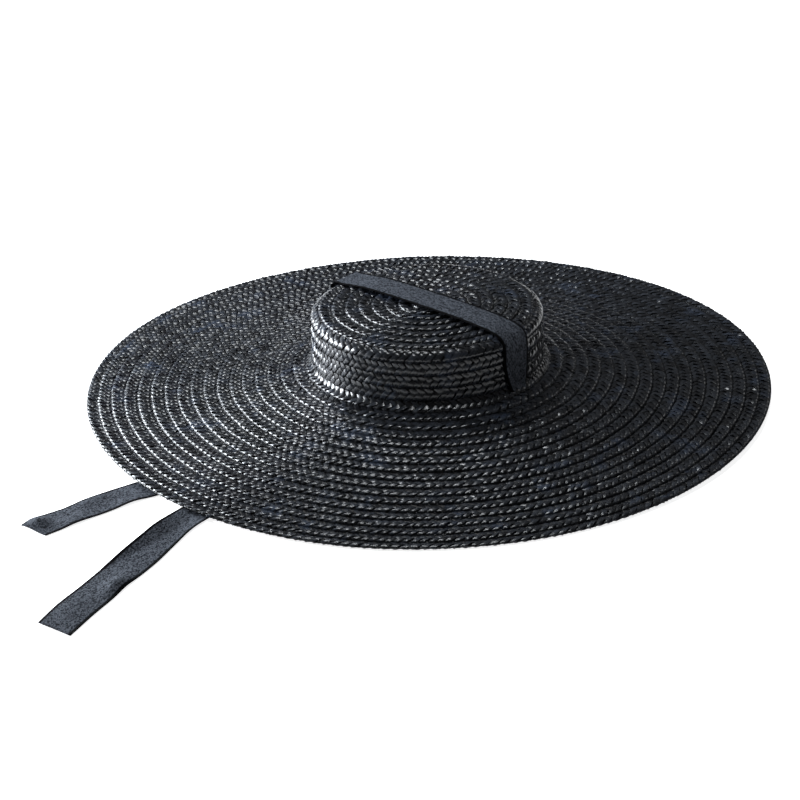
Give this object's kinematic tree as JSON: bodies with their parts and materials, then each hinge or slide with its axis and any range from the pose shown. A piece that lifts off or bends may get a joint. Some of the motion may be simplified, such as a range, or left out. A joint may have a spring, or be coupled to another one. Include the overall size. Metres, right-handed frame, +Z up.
{
  "type": "boater hat",
  "caption": "Black straw boater with a low flat-topped crown, a very wide sloping brim of sewn braid rows and a ribbon tie threaded over the tip and under the brim.",
  "frame": {"origin": "middle of the brim's circle, on the surface that the hat stands on", "axes": "+Z up through the crown's tip, -Y toward the wearer's front, X from ear to ear along the ribbon over the tip"},
  "size_m": [0.542, 0.7023, 0.0717],
  "materials": {
    "straw_black": "plaited straw dyed black, glossy on the strands",
    "ribbon_slate": "matte woven ribbon, slate black"
  },
  "bodies": {
    "root": {"crown": "straw_black", "brim": "straw_black", "ribbon": "ribbon_slate"}
  },
  "joints": []
}
